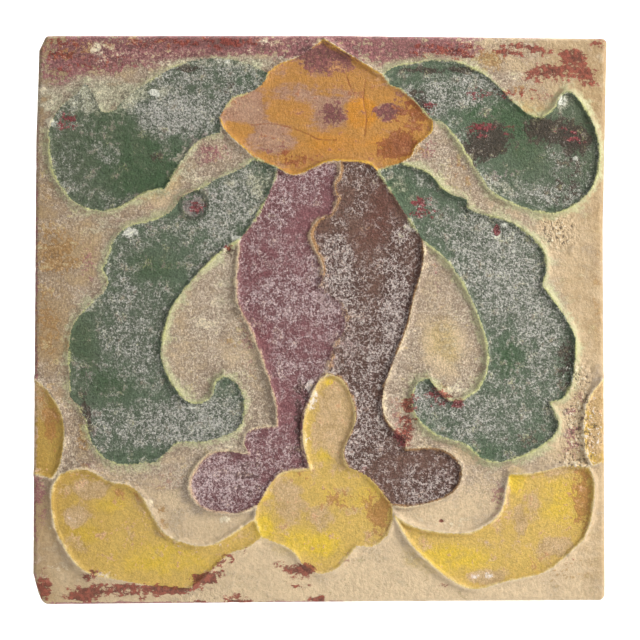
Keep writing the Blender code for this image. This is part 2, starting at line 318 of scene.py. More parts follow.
def distance_map(paths):
    """Distance in mm to the nearest path, and that path's number in the list, within REACH of it."""
    nearest = np.full((columns, columns), REACH)
    number = np.zeros((columns, columns), int)
    for count, path in enumerate(paths):
        for start, end in zip(path[:-1], path[1:]):
            lo = np.minimum(start, end) - REACH
            hi = np.maximum(start, end) + REACH
            j0, i0 = np.clip(np.floor((lo - map_x[0]) / PITCH).astype(int), 0, columns)
            j1, i1 = np.clip(np.ceil((hi - map_x[0]) / PITCH).astype(int) + 1, 0, columns)
            dx = map_x[j0:j1][None, :] - start[0]
            dz = map_x[i0:i1][:, None] - start[1]
            along = end - start
            share = np.clip((dx * along[0] + dz * along[1]) / (along @ along), 0, 1)
            away = np.sqrt((dx - share * along[0]) ** 2 + (dz - share * along[1]) ** 2)
            window = nearest[i0:i1, j0:j1]
            closer = away < window
            window[closer] = away[closer]
            number[i0:i1, j0:j1][closer] = count
    return nearest, number


def inside(polygon, x, z):
    """True where a ray from the point crosses the polygon's sides an odd number of times."""
    odd = np.zeros(x.shape, bool)
    for (x0, z0), (x1, z1) in zip(polygon, np.roll(polygon, -1, axis=0)):
        if z0 == z1:
            continue
        crosses = (z0 > z) != (z1 > z)
        odd[crosses] ^= x[crosses] < (x1 - x0) * (z[crosses] - z0) / (z1 - z0) + x0
    return odd


def pool_outline(walk):
    """The closed outline that a pool's lines make, one after the other."""
    runs = [curves[name[1:]][::-1] if name[0] == "-" else curves[name] for name in walk.split()]
    return np.vstack([run[:-1] for run in runs])


green_walks = " ".join(walk for colour, walk in POOLS.values() if colour == "green").replace("-", "").split()
kept_share = {name: share for share, names in WORN.items() for name in names.split()}
distance, nearest_line = distance_map([curve[::2] for curve in curves.values()])
kept = np.array([kept_share.get(name, 1.0) for name in curves])[nearest_line]
beside_green = np.array([float(name in green_walks) for name in curves])[nearest_line]
crest_width = np.array([next(w for part, w in CREST_WIDTHS.items() if part in name) for name in curves])
crest_width = crest_width[nearest_line]
in_pool = np.zeros((columns, columns))
for _, walk in POOLS.values():
    outline = pool_outline(walk)[::4]
    j0, i0 = np.maximum((outline.min(axis=0) - map_x[0]) // PITCH, 0).astype(int)
    j1, i1 = ((outline.max(axis=0) - map_x[0]) // PITCH).astype(int) + 2
    window = slice(i0, i1), slice(j0, j1)
    in_pool[window] += inside(outline, MAP_X[window], MAP_Z[window])
in_pool = np.minimum(in_pool, 1)
print(f"cells under a line: {(distance < 1.25).mean():.0%}, in a pool: {in_pool.mean():.0%}")

# %% [markdown]
# The section of a raised line is a low rounded ridge. Beside it the glaze climbs a little, as liquid
# does at the side of a glass, and sags to a shallow dish in the middle of each pool. On top of that
# come the mistakes of hand and kiln: a slab that isn't flat, burst bubbles, grit and pits, a bubble
# crater in the left leaf, and fine cracks in the glazes.

# %% Height of the face
RIDGE = 0.92
RIDGE_FLAT = 0.10
POOL_SLOPE = 0.95
GROUND_SLOPE = 1.4
DISH = 0.16
DISH_START = 1.0
DISH_REACH = 1.8
SLAB_WAVE = 0.14
HAND_WAVE = 0.10
GLAZE_GRAIN = 0.05
CRACK_DEPTH = 0.12
CRACK_WIDTH = 0.16

# x, y and radius in the drawing's pixels, then the height
BUMPS = [
    (540, 220, 3, 0.35), (553, 228, 3, 0.3), (562, 225, 3, 0.25), (572, 247, 3, 0.35), (571, 253, 3, 0.35),
    (460, 365, 4, 0.22), (85, 211, 5, 0.3), (575, 158, 4, 0.4), (503, 225, 4, 0.4), (514, 251, 3, 0.35),
    (237, 239, 5, 0.3), (150, 92, 4, 0.35), (50, 122, 4, 0.45), (284, 172, 4, 0.35), (225, 520, 4, 0.3),
    (585, 363, 3, -0.35), (590, 370, 3, -0.35), (572, 415, 4, -0.3), (580, 395, 3, 0.25),
    (441, 521, 2, -0.3), (496, 231, 5, -0.6), (228, 248, 4, -0.9), (493, 396, 4, -0.25),
    (190, 408, 4, 0.35), (197, 602, 4, -0.5), (230, 602, 5, -0.5), (318, 598, 3, -0.35), (253, 268, 3, 0.2),
]
CRATER = ((193, 205), 14, 0.25)
# the last two are grooves along the trefoil's left lobe and in the right leaf's curl, whose dark colour is
# painted shadow
CRACKS = [
    "250,125 275,124 303,132 318,139 336,140",
    "365,80 363,98 366,118 364,136",
    "345,74 352,92",
    "318,378 308,395 300,418 299,443 303,466",
    "426,376 434,388 443,399 452,404",
]


def bump_map(bumps):
    """The sum of round bumps, each a bell of its own height and radius."""
    total = np.zeros((columns, columns))
    for pixel_x, pixel_y, radius, height in bumps:
        x, z = place((pixel_x, pixel_y))
        away = np.hypot(MAP_X - x, MAP_Z - z) / (radius * PIXEL)
        total += height * np.exp(-(away**2) * 1.6)
    return total


def crater_map(pixel, radius, height):
    """A burst bubble: a raised ring with a sunk floor inside it."""
    x, z = place(pixel)
    away = np.hypot(MAP_X - x, MAP_Z - z) / (radius * PIXEL)
    ring = bell(away - 1, 0.16)
    floor = 1 / (1 + np.exp((away - 0.9) * 14))
    return height * (ring - 0.9 * floor)


hand = 0.82 + 0.36 * clouds(MAP_X, MAP_Z, 5, 3)
slope = hand * (POOL_SLOPE * in_pool + GROUND_SLOPE * (1 - in_pool))
ridge_share = np.clip((distance - RIDGE_FLAT) / (slope - RIDGE_FLAT), 0, 1)
chips = 0.45 * np.clip((clouds(MAP_X, MAP_Z, 4, 7) - 0.62) / 0.12, 0, 1)
wear = 0.95 + 0.3 * (clouds(MAP_X, MAP_Z, 14, 5) - 0.5) - chips
height = RIDGE * kept * wear * 0.5 * (1 + np.cos(np.pi * ridge_share))
height -= DISH * (1 - np.exp(-np.maximum(distance - DISH_START, 0) / DISH_REACH))
height += SLAB_WAVE * (clouds(MAP_X, MAP_Z, 32, 11) - 0.5)
height += HAND_WAVE * (clouds(MAP_X, MAP_Z, 3.0, 21) - 0.5)
height += GLAZE_GRAIN * (noise(MAP_X, MAP_Z, 0.6, 31) - 0.5)
height += bump_map(BUMPS) + crater_map(*CRATER)
cracks, _ = distance_map([smooth_curve(place(knots_of(crack))) for crack in CRACKS])
height -= CRACK_DEPTH * bell(cracks, CRACK_WIDTH)
print(f"height: {height.min():.2f} to {height.max():.2f} mm over the slab's face")

# %% [markdown]
# The relief is one closed skin: a grid over the front that follows the rim, four walls and a grid over
# the back. The front's edge is rounded by wear, and small bites are missing from it. The back was
# never meant to be seen, so it only has the rough, wiped look of clay struck off with a wire.

# %% Front and back
GRID = 0.3
EDGE_BAND = 1.6
FRONT_ARRIS = 1.1
BACK_ARRIS = 0.6
CORNERS = {"left": (1.6, 0.9), "right": (1.8, 1.4)}
SLAB = THICK - 1.1  # the CAD's raised lines are 1.1 mm high
FACE_CAP = 1.06  # and the face here stays below them


def spread(length):
    """Positions along a side, closer together near both ends, where the arris turns."""
    band = np.linspace(0, EDGE_BAND, 10)
    middle = np.linspace(EDGE_BAND, length - EDGE_BAND, round((length - 2 * EDGE_BAND) / GRID))
    return np.concatenate([band[:-1], middle, length - band[-2::-1]])


def side_of(points, at, along):
    """The rim side's other coordinate at these places; along is 0 if they are x, 1 if they are z."""
    side = place(knots_of(points))
    order = side[:, along].argsort()
    return np.interp(at, side[order, along], side[order, 1 - along])


def corner_inset(from_bottom, from_top, radii):
    """How far a rounded corner draws the side in: r - sqrt(r^2 - (r - t)^2) at t from the corner."""
    total = 0
    for away, radius in zip((from_bottom, from_top), radii):
        short = np.clip(radius - away, 0, radius)
        total = total + radius - np.sqrt(radius**2 - short**2)
    return total


u, v = spread(WIDE) / WIDE, spread(TALL) / TALL
U, V = np.meshgrid(u, v)
guess_x = side_of(RIM_LEFT, 0, 1) * (1 - U) + side_of(RIM_RIGHT, 0, 1) * U
bottom, top = side_of(RIM_BOTTOM, guess_x, 0), side_of(RIM_TOP, guess_x, 0)
Z = bottom + (top - bottom) * V
left = side_of(RIM_LEFT, Z, 1) + corner_inset(V * TALL, (1 - V) * TALL, CORNERS["left"])
right = side_of(RIM_RIGHT, Z, 1) - corner_inset(V * TALL, (1 - V) * TALL, CORNERS["right"])
X = left + (right - left) * U

from_rim = np.minimum(np.minimum(X - left, right - X), np.minimum(Z - bottom, top - Z))
bites = np.clip(noise(X, Z, 2.2, 41) - 0.62, 0, 1) * 1.6 + 0.25 * noise(X, Z, 0.8, 43)
reach = FRONT_ARRIS * (1 + bites)
short = np.clip(reach - from_rim, 0, reach)
drop = reach - np.sqrt(reach**2 - short**2)
face = np.minimum(read_map(height, X, Z), FACE_CAP)
rows, cols = X.shape
front = np.stack([X, -(SLAB + face) + np.minimum(drop, FRONT_ARRIS * 1.5), Z], axis=-1)

short = np.clip(BACK_ARRIS - from_rim, 0, BACK_ARRIS)
scrape = clouds(X * 0.25, Z * 2.0, 5, 51) * 0.16 + noise(X, Z, 0.9, 53) * 0.06
drop = BACK_ARRIS - np.sqrt(BACK_ARRIS**2 - short**2)
back = np.stack([X, -drop - scrape * (short == 0), Z], axis=-1)
print(f"front and back: {rows} x {cols} points each")

# %% [markdown]
# The walls join the front's rim to the back's, row by row. They are roughest half way, so that both
# rims stay closed. On the real tile they are cut faces, dragged by the knife and knocked in the kiln.

# %% Walls
WALL_ROWS = 26
SIDE_BAND = 3

index = np.arange(rows * cols).reshape(rows, cols)
ring = np.concatenate([index[0, :-1], index[:-1, -1], index[-1, :0:-1], index[:0:-1, 0]])
front_ring, back_ring = front.reshape(-1, 3)[ring], back.reshape(-1, 3)[ring]
share = np.linspace(0, 1, WALL_ROWS)[1:-1, None, None]
walls = front_ring * (1 - share) + back_ring * share
turn = np.arange(len(ring)) * GRID
rough = clouds(turn[None, :], walls[:, :, 1], 4, 61) * 0.35
rough += noise(turn[None, :], walls[:, :, 1], 0.8, 63) * 0.12
rough *= np.sin(np.pi * share[:, :, 0]) ** 0.3
for axis, size in ((0, WIDE), (2, TALL)):
    near_side = np.abs(walls[:, :, axis]) > size / 2 - SIDE_BAND
    walls[:, :, axis] -= rough * np.sign(walls[:, :, axis]) * near_side

points = np.vstack([front.reshape(-1, 3), back.reshape(-1, 3), walls.reshape(-1, 3)])
quads = np.stack([index[:-1, :-1], index[:-1, 1:], index[1:, 1:], index[1:, :-1]], axis=-1).reshape(-1, 4)
wall_start = 2 * rows * cols
levels = [ring]
levels += [wall_start + k * len(ring) + np.arange(len(ring)) for k in range(WALL_ROWS - 2)]
levels += [ring + rows * cols]
wall_quads = [
    np.stack([a, b, np.roll(b, -1), np.roll(a, -1)], axis=-1) for a, b in zip(levels[:-1], levels[1:])
]
faces = np.vstack([quads, quads[:, ::-1] + rows * cols] + wall_quads)
print(f"walls: {WALL_ROWS - 2} rows of {len(ring)} points, {len(faces)} faces in all")

# %% [markdown]
# The mesh is first made too fine everywhere and then thinned by collapsing the edges that matter
# least. That leaves its triangles where the relief needs them: on the lines, the chips and the rim.

# %% Relief mesh
TRIANGLES = 190000


def mesh_object(name, vertices, polygons):
    """A mesh object from arrays of vertices in mm and four-cornered faces."""
    mesh = bpy.data.meshes.new(name)
    mesh.vertices.add(len(vertices))
    mesh.vertices.foreach_set("co", (vertices * MM).astype(np.float32).ravel())
    mesh.loops.add(polygons.size)
    mesh.loops.foreach_set("vertex_index", polygons.astype(np.int32).ravel())
    mesh.polygons.add(len(polygons))
    mesh.polygons.foreach_set("loop_start", np.arange(len(polygons), dtype=np.int32) * 4)
    mesh.update(calc_edges=True)
    obj = bpy.data.objects.new(name, mesh)
    bpy.context.scene.collection.objects.link(obj)
    return obj


tile = mesh_object("tile_relief", points, faces)
thin = tile.modifiers.new("thin out", "DECIMATE")
thin.ratio = TRIANGLES / (2 * len(faces))
thin.use_collapse_triangulate = True
bpy.context.view_layer.update()
thinned = bpy.data.meshes.new_from_object(tile.evaluated_get(bpy.context.evaluated_depsgraph_get()))
tile.modifiers.clear()
tile.data = thinned
thinned.polygons.foreach_set("use_smooth", np.ones(len(thinned.polygons), bool))
print(f"relief: {len(faces) * 2} triangles thinned to {len(thinned.polygons)}")

# %% [markdown]
# Age has not treated the face evenly, and the marks it left are listed by place: first where the glaze
# is still deep, where it has gone cloudy and where a stain has soaked in; the stain list also holds
# painted shadow. Each mark is only a soft patch of more or less. The materials break its edge up with
# fine noise, so that it ends raggedly, the way a worn glaze does.

# %% Marks in the glaze
# x, y, half width and half height in the drawing's pixels, then the amount
DEEP = [
    (525, 560, 8, 6, 0.2), (330, 545, 14, 12, 0.5), (329, 383, 5, 4, 1.0), (308, 432, 3, 30, 0.3),
    (326, 452, 9, 8, 0.4), (262, 528, 7, 10, 0.5), (361, 113, 14, 13, 1.5), (512, 355, 18, 26, 0.7),
    (415, 478, 42, 26, 0.65), (265, 525, 8, 12, 0.6), (325, 455, 10, 14, 0.4), (445, 345, 16, 30, 0.6),
    (427, 340, 8, 20, 0.3), (60, 350, 10, 30, 0.4), (125, 150, 60, 45, 0.9), (150, 180, 30, 20, 0.5),
    (495, 112, 45, 16, 0.8), (525, 145, 22, 30, 0.8), (585, 120, 12, 30, 0.6), (80, 345, 16, 28, 0.9),
    (110, 385, 25, 22, 0.7), (145, 268, 18, 16, 0.7), (172, 272, 12, 14, 0.5), (130, 455, 30, 8, 0.5),
    (440, 425, 30, 12, 0.5), (480, 452, 30, 8, 0.5), (400, 190, 20, 18, 0.5), (264, 335, 14, 18, 0.6),
    (265, 265, 20, 20, 0.6), (305, 225, 22, 26, 0.6), (285, 400, 12, 20, 0.5), (250, 490, 40, 14, 0.6),
    (380, 210, 16, 22, 0.8), (360, 240, 30, 20, 0.6), (375, 300, 20, 20, 0.3), (110, 506, 16, 8, 0.7),
    (80, 532, 20, 12, 0.6), (160, 560, 50, 16, 0.6), (300, 545, 30, 18, 0.7), (345, 500, 30, 20, 0.4),
    (515, 480, 10, 14, 0.8), (560, 500, 26, 26, 0.5), (450, 560, 40, 16, 0.6), (340, 145, 50, 12, 0.6),
    (250, 78, 18, 8, 0.6), (240, 130, 14, 14, 0.5), (290, 110, 24, 14, 0.4),
]
CLOUDED = [
    (300, 530, 34, 20, 0.25), (80, 165, 24, 26, 0.3), (560, 195, 24, 10, 0.3), (486, 577, 16, 6, 1.3),
    (285, 492, 12, 6, 0.7), (345, 492, 12, 6, 0.6), (320, 520, 8, 14, 0.4), (150, 555, 16, 5, 0.4),
    (205, 552, 16, 4, 0.4), (285, 300, 26, 22, 0.4), (300, 370, 22, 26, 0.3), (555, 546, 12, 7, 0.8),
    (455, 500, 4, 10, 0.3), (505, 490, 5, 12, 0.7), (520, 520, 5, 16, 0.7), (340, 510, 20, 8, 0.5),
    (290, 500, 16, 12, 0.5), (75, 517, 11, 9, 1.5), (90, 490, 16, 7, 1.0), (70, 540, 9, 7, 0.4),
    (555, 546, 16, 8, 0.6), (330, 400, 10, 14, 0.4), (330, 440, 12, 12, 0.4), (330, 425, 17, 34, 0.85),
    (500, 270, 46, 36, 0.7), (205, 70, 40, 10, 0.4), (178, 115, 22, 12, 0.4), (125, 300, 40, 26, 0.25),
    (215, 285, 16, 50, 0.7), (195, 305, 10, 30, 0.4), (597, 420, 9, 40, 0.7), (500, 300, 34, 34, 0.3),
    (425, 482, 34, 20, 0.6), (525, 200, 20, 10, 0.3), (340, 170, 60, 8, 0.3), (235, 200, 14, 24, 0.5),
    (420, 400, 10, 12, 0.5), (222, 485, 36, 24, 1.0), (200, 422, 46, 24, 1.2), (42, 400, 8, 20, 0.6),
    (88, 95, 26, 14, 0.9), (395, 330, 10, 60, 0.7), (240, 110, 24, 18, 0.8), (175, 118, 36, 18, 0.9),
    (480, 80, 40, 8, 0.4), (560, 470, 18, 8, 0.7), (170, 112, 34, 16, 0.9), (110, 158, 12, 10, 0.5),
    (60, 122, 16, 12, 0.4), (205, 80, 55, 14, 0.3), (425, 95, 22, 14, 0.5), (470, 95, 34, 10, 0.5),
    (440, 110, 20, 10, 0.5), (495, 185, 14, 8, 0.4), (215, 200, 36, 30, 0.6), (130, 350, 30, 30, 0.3),
    (120, 430, 34, 22, 0.5), (435, 150, 20, 20, 0.2), (480, 230, 30, 16, 0.5), (540, 330, 24, 40, 0.6),
    (470, 420, 60, 20, 0.6), (430, 392, 18, 12, 0.5), (290, 205, 20, 28, 0.3), (300, 290, 26, 30, 0.2),
    (335, 280, 18, 44, 0.9), (395, 310, 14, 40, 0.5), (370, 360, 22, 50, 0.4), (350, 430, 20, 40, 0.5),
    (535, 500, 7, 16, 0.5), (280, 485, 14, 8, 0.7), (272, 138, 30, 14, 0.9), (332, 114, 16, 14, 1.3),
    (386, 112, 12, 8, 1.0), (322, 52, 24, 13, 1.3), (400, 146, 12, 10, 0.7), (290, 92, 24, 12, 0.4),
    (250, 108, 12, 16, 0.5), (320, 95, 30, 8, 0.4),
]
# Stains, and painted shadow: the dark strips left of the trefoil's left lobe, in the right leaf's curl and
# along the bottom rim stand for shade
STAINED_AND_SHADOW = [
    (300, 158, 30, 7, 0.3), (395, 118, 8, 16, 0.35), (408, 140, 10, 8, 0.4), (84, 425, 7, 30, 0.9),
    (380, 500, 14, 16, 0.3), (300, 480, 10, 5, 0.35), (540, 128, 16, 7, 0.7), (578, 138, 14, 7, 0.7),
    (350, 500, 14, 10, 0.4), (414, 112, 14, 22, 0.45), (398, 142, 16, 8, 0.4), (225, 345, 10, 10, 0.4),
    (470, 603, 130, 2, 0.8), (420, 105, 10, 16, 0.6), (570, 182, 22, 24, 0.45), (298, 425, 4, 42, 0.9),
    (307, 392, 4, 12, 0.8), (437, 388, 12, 5, 0.9), (45, 405, 10, 26, 0.3), (486, 150, 16, 10, 0.5),
    (597, 290, 6, 50, 0.35), (395, 150, 22, 8, 1.0), (480, 140, 16, 16, 0.7), (575, 145, 12, 14, 0.8),
    (470, 160, 14, 18, 0.5), (445, 70, 60, 3, 0.8), (510, 92, 22, 8, 0.6), (75, 52, 36, 8, 0.5),
    (150, 42, 80, 5, 0.4), (530, 440, 26, 10, 0.3), (345, 90, 40, 5, 0.3), (225, 90, 20, 10, 0.3),
    (60, 255, 18, 22, 0.9), (47, 325, 14, 34, 0.7), (45, 210, 8, 60, 0.3), (455, 195, 24, 20, 0.3),
    (490, 58, 14, 8, 0.8), (400, 145, 12, 12, 0.7), (380, 515, 12, 18, 0.9), (582, 500, 9, 34, 0.9),
    (130, 492, 20, 7, 0.6), (160, 516, 8, 18, 0.5), (50, 430, 8, 26, 0.6), (330, 500, 16, 10, 0.3),
    (560, 570, 40, 14, 0.3), (292, 157, 12, 8, 0.5), (495, 138, 18, 14, 0.9), (555, 132, 28, 14, 1.0),
    (188, 68, 14, 4, 0.9), (565, 360, 8, 30, 0.7), (250, 480, 16, 20, 0.3), (155, 158, 10, 6, 0.5),
]
print(f"marks in the glaze: {len(DEEP)} deep, {len(CLOUDED)} clouded, {len(STAINED_AND_SHADOW)} stained")

# %% [markdown]
# The other marks are mostly of wear. Damp has washed the glaze thin, knocks have laid the clay bare, lime has
# left a grey bloom, and grit and burst bubbles have pitted the ground. The washed list also paints shade
# in thin dark lines along the left, right and bottom rims, and the pale list paints highlights on the
# bumps and on some crests and slopes. They are listed the same way.

# %% Marks of wear
# Washed thin glaze, and painted shade: the thin lines along the bottom, left and right rims stand for the
# shaded arris
WASHED_AND_RIM_SHADE = [
    (120, 62, 50, 10, 0.35), (275, 152, 20, 8, 0.35), (150, 604, 120, 2, 1.3), (320, 603, 60, 2, 0.9),
    (607, 400, 2, 190, 0.6), (333, 115, 13, 13, 1.1), (384, 112, 11, 9, 1.0), (110, 45, 60, 9, 0.4),
    (150, 52, 90, 12, 0.7), (33, 300, 4, 260, 0.9), (300, 37, 270, 3, 0.6), (215, 150, 22, 14, 0.35),
    (40, 500, 6, 24, 0.5), (395, 420, 8, 26, 0.3), (322, 56, 26, 15, 1.2), (230, 44, 40, 9, 0.8),
    (455, 50, 30, 9, 0.6), (193, 207, 11, 10, 1.0), (400, 105, 12, 14, 0.5), (205, 45, 50, 10, 0.9),
    (80, 62, 40, 22, 0.6), (55, 75, 16, 16, 0.4), (285, 48, 30, 10, 0.6), (380, 50, 50, 14, 0.8),
    (430, 48, 40, 10, 0.7), (195, 150, 16, 22, 0.5), (425, 150, 12, 14, 0.4), (185, 200, 40, 14, 0.3),
    (90, 440, 10, 60, 0.35), (130, 225, 20, 8, 0.4), (465, 160, 14, 24, 0.4), (440, 270, 10, 30, 0.3),
    (250, 330, 10, 40, 0.3), (570, 420, 14, 34, 0.5), (88, 268, 10, 26, 0.4), (500, 175, 14, 6, 0.3),
    (160, 480, 20, 14, 0.2), (500, 500, 8, 22, 0.4),
]
BARE = [
    (318, 599, 7, 3, 0.9), (236, 602, 16, 3, 0.9), (197, 603, 9, 3, 0.9), (441, 521, 2, 2, 1.3),
    (228, 248, 4, 4, 1.2), (496, 228, 5, 5, 0.5), (200, 583, 9, 4, 0.7), (228, 559, 7, 5, 0.7),
    (242, 549, 7, 4, 0.7), (100, 598, 50, 4, 0.6), (165, 590, 30, 5, 0.5), (570, 68, 26, 12, 0.3),
    (216, 570, 10, 8, 0.7), (510, 130, 8, 6, 0.5), (560, 130, 16, 5, 0.5), (576, 60, 14, 7, 0.9),
    (584, 76, 8, 9, 0.9), (552, 74, 24, 8, 0.55), (556, 50, 24, 5, 0.4), (520, 88, 20, 8, 0.3),
    (595, 85, 8, 14, 0.35), (425, 50, 20, 8, 0.6), (60, 48, 26, 8, 0.4), (230, 42, 34, 6, 0.5),
    (193, 207, 6, 5, 0.6), (600, 45, 10, 8, 0.6), (110, 38, 60, 4, 0.35), (190, 44, 60, 6, 0.55),
    (110, 62, 30, 10, 0.4), (62, 60, 20, 14, 0.4), (460, 51, 20, 8, 0.9), (520, 50, 24, 8, 0.9),
    (545, 72, 18, 8, 0.5), (535, 95, 20, 6, 0.4), (505, 96, 10, 6, 0.4), (66, 122, 10, 10, 0.6),
    (430, 107, 8, 6, 0.9), (477, 94, 12, 6, 0.6), (480, 129, 12, 7, 0.9), (575, 140, 10, 6, 0.6),
    (422, 208, 14, 10, 0.9), (496, 231, 4, 5, 1.2), (435, 398, 20, 9, 0.8), (458, 404, 6, 4, 1.2),
    (408, 420, 7, 20, 1.1), (398, 436, 8, 8, 0.8), (42, 588, 7, 16, 1.2), (130, 589, 60, 5, 1.0),
    (80, 596, 16, 5, 0.8), (204, 578, 14, 6, 1.0), (300, 570, 14, 7, 1.1), (280, 567, 8, 5, 0.7),
    (298, 586, 12, 4, 0.6), (235, 596, 14, 5, 0.4), (443, 584, 6, 4, 0.5), (197, 207, 9, 8, 0.5),
    (320, 600, 12, 4, 0.5), (90, 575, 10, 5, 0.7), (450, 280, 4, 4, 0.2), (360, 470, 10, 6, 0.25),
    (347, 562, 5, 5, 0.3), (570, 560, 10, 8, 0.4),
]
# A grey bloom that lies over the lines and joins the colours on both sides of them
HAZY = [
    (328, 300, 13, 14, 0.5), (352, 345, 9, 16, 0.3), (92, 400, 6, 10, 0.2), (222, 280, 10, 40, 0.3),
    (95, 96, 34, 17, 1.0), (140, 92, 30, 8, 0.6), (200, 62, 50, 5, 0.5), (45, 100, 12, 16, 0.5),
    (190, 160, 14, 22, 0.5), (165, 192, 20, 5, 0.5), (337, 350, 9, 22, 0.25), (255, 62, 14, 8, 0.6),
    (265, 185, 12, 20, 0.5), (400, 190, 14, 18, 0.4), (240, 180, 20, 18, 0.4), (562, 100, 12, 10, 0.5),
    (500, 188, 16, 6, 0.5), (95, 300, 12, 16, 0.4), (105, 230, 16, 10, 0.4), (224, 392, 18, 16, 0.3),
    (430, 165, 20, 8, 0.3), (280, 440, 6, 10, 0.3), (225, 440, 20, 10, 0.3), (385, 75, 14, 10, 0.4),
    (560, 418, 10, 20, 0.4), (450, 350, 10, 50, 0.2),
]
# Coarse grit and pits, where the ground's glaze boiled or has flaked
PITTED = [
    (582, 430, 22, 44, 1.0), (556, 232, 20, 18, 0.9), (592, 175, 12, 20, 0.5), (574, 372, 16, 14, 0.7),
    (545, 462, 30, 8, 0.5), (75, 440, 20, 30, 0.5), (440, 520, 30, 14, 0.25), (150, 75, 16, 6, 0.8),
    (228, 250, 10, 8, 0.9), (200, 597, 40, 8, 0.6), (96, 250, 14, 24, 0.4), (500, 228, 10, 8, 0.7),
    (193, 190, 14, 10, 0.5), (55, 115, 10, 16, 0.6), (380, 590, 60, 10, 0.3), (270, 160, 16, 8, 0.5),
]
# Worn pale glaze, and painted highlights: the spots on the raised bumps, the streaks on the upper left leaf's
# top line and two slopes by the lower left leaf
PALE_AND_HIGHLIGHT = [
    (165, 63, 10, 3, 0.6), (192, 60, 12, 3, 0.6), (222, 62, 12, 3, 0.5), (154, 94, 5, 3, 0.9),
    (497, 236, 4, 3, 1.1), (504, 225, 4, 3, 0.9), (513, 251, 2, 2, 1.3), (190, 170, 4, 3, 0.9),
    (197, 180, 4, 3, 0.7), (110, 50, 34, 12, 0.35), (255, 46, 14, 8, 0.3), (300, 572, 10, 3, 0.3),
    (75, 517, 10, 8, 0.3), (485, 577, 13, 5, 0.5), (90, 492, 12, 5, 0.35), (50, 575, 16, 18, 0.35),
    (205, 325, 16, 34, 0.35), (97, 60, 7, 30, 0.35), (262, 42, 12, 5, 0.4), (42, 95, 10, 24, 0.35),
    (80, 100, 26, 10, 0.35), (530, 75, 40, 12, 0.3), (500, 40, 80, 3, 0.35), (311, 393, 5, 18, 0.9),
    (306, 430, 3, 26, 0.4), (329, 374, 8, 4, 0.8), (50, 122, 4, 6, 1.2), (152, 92, 6, 4, 0.9),
    (150, 500, 8, 18, 0.3), (200, 545, 26, 6, 0.35), (380, 400, 7, 40, 0.5), (455, 390, 20, 8, 0.6),
    (226, 452, 12, 8, 0.5), (90, 575, 30, 4, 0.5), (237, 239, 6, 4, 1.2), (575, 158, 3, 3, 1.1),
    (414, 178, 10, 10, 0.5), (130, 232, 12, 5, 0.8), (190, 408, 5, 3, 0.8), (225, 519, 6, 4, 1.0),
    (150, 460, 30, 12, 0.3), (410, 227, 8, 8, 0.6), (560, 100, 6, 6, 0.8), (500, 545, 60, 5, 0.2),
    (440, 520, 30, 10, 0.3),
]
print(f"marks of wear: {len(WASHED_AND_RIM_SHADE)} washed, {len(BARE)} bare, {len(HAZY + PITTED + PALE_AND_HIGHLIGHT)} others")

# %% [markdown]
# Marks and distances now become numbers at each vertex, which the materials read by name. Dark glaze
# lies thicker at a line's foot and round the crater, and painted shade darkens each foot more on the line's
# left and lower side, away from the light. The face gets darker towards its top and left and near its
# left and right borders, and the ground's film is coarsest in its upper part.

# %% Numbers on the mesh
MARKED_DEPTH = 1.6
FOOT, FOOT_WIDTH = 0.85, 0.4
FRINGE_WIDTH = 1.9
NEAR_REACH = 2.6
CRACK_STAIN_AND_SHADOW_WIDTH = 0.28
CRATER_RIM_WIDTH = 0.22
DARKENING_REACH = 16


def mark_values(marks, x, z):
    """The sum over the marks of amount times a bell that is flat in its middle, at each point."""
    total = np.zeros(x.shape)
    for pixel_x, pixel_y, half_wide, half_tall, amount in marks:
        mx, mz = place((pixel_x, pixel_y))
        away = ((x - mx) / (half_wide * PIXEL)) ** 2 + ((z - mz) / (half_tall * PIXEL)) ** 2
        total += amount * np.exp(-(away**1.5) * 0.7)
    return np.clip(total, 0, 1.5)


co = np.empty(len(thinned.vertices) * 3, np.float32)
thinned.vertices.foreach_get("co", co)
x, y, z = co.reshape(-1, 3).T.astype(float) / MM
on_face = y < -(SLAB - MARKED_DEPTH)
line_away = read_map(distance, x, z)
line_kept = read_map(kept, x, z) ** 0.5 * on_face
slope_z, slope_x = np.gradient(distance, PITCH)
# painted shade: how much a point lies on a line's left or lower side, away from the light
shaded_side = np.clip(-0.9 * read_map(slope_x, x, z) - 0.5 * read_map(slope_z, x, z), 0, 1)
# dark glaze pooled at a line's foot, darkened further by painted shade on the side away from the light
foot = bell(line_away - FOOT, FOOT_WIDTH) * line_kept * (0.3 + 0.45 * shaded_side)
crater_x, crater_z = place(CRATER[0])
crater_away = np.hypot(x - crater_x, z - crater_z) / (CRATER[1] * PIXEL)
granular = 0.8 + np.minimum((z + 42) / 25, 0.3) - np.maximum(x - 48, 0) / 20
granular += 0.6 * (clouds(x, z, 9, 75) - 0.5)
# darker towards the top and the left, and near the left and right borders
grime = 0.22 - 0.30 * x / WIDE + 0.5 * z / TALL + 0.4 * (clouds(x, z, 20, 71) - 0.5)
grime += 0.8 * np.exp(-(x + WIDE / 2) / DARKENING_REACH) + 0.7 * np.exp(-(WIDE / 2 - x) / DARKENING_REACH)
numbers = {
    "crest": bell(line_away, read_map(crest_width, x, z)) * line_kept,
    "edge": foot + 1.4 * bell(crater_away - 1.0, CRATER_RIM_WIDTH),
    "fringe": bell(line_away, FRINGE_WIDTH) * line_kept,
    "near": np.exp(-line_away / NEAR_REACH) * on_face,
    "granular": np.clip(granular, 0.3, 1.2),
    "grime": np.clip(grime, 0, 1),
    "beside_green": read_map(beside_green, x, z),
    "cracked": bell(read_map(cracks, x, z), CRACK_STAIN_AND_SHADOW_WIDTH) * on_face,
}
for name, marks in {"deep": DEEP, "clouded": CLOUDED, "stained": STAINED_AND_SHADOW, "washed": WASHED_AND_RIM_SHADE,
                    "bare": BARE, "pale": PALE_AND_HIGHLIGHT, "hazy": HAZY, "pitted": PITTED}.items():
    numbers[name] = mark_values(marks, x, z)
